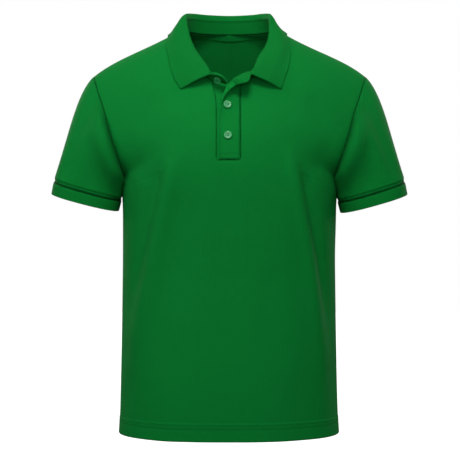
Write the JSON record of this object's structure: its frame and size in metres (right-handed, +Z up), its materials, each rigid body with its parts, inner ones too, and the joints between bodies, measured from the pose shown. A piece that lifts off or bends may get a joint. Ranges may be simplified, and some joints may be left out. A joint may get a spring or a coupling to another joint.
{
  "type": "polo shirt",
  "caption": "Short-sleeved green pique polo shirt, worn shape, hollow: open neck, hem and cuffs, turned-down collar and a buttoned half placket.",
  "frame": {"origin": "middle of the neck, level with the top ends of the shoulder seams, where the shirt hangs on the wearer's shoulders", "axes": "+Z up along the body, -Y out of the front, +X towards the wearer's left sleeve"},
  "size_m": [0.64, 0.2548, 0.7595],
  "materials": {
    "pique_cloth": "matt cotton pique knit",
    "rib_cloth": "matt flat knit",
    "button_plastic": "satin"
  },
  "bodies": {
    "root": {"front": "pique_cloth", "back": "pique_cloth", "sleeve_left": "pique_cloth", "sleeve_right": "pique_cloth", "cuff_left": "rib_cloth", "cuff_right": "rib_cloth", "collar_stand": "pique_cloth", "collar": "rib_cloth", "placket_top": "pique_cloth", "placket_under": "pique_cloth", "neck_tape": "pique_cloth", "button_neck": "button_plastic", "button_upper": "button_plastic", "button_lower": "button_plastic"}
  },
  "joints": []
}
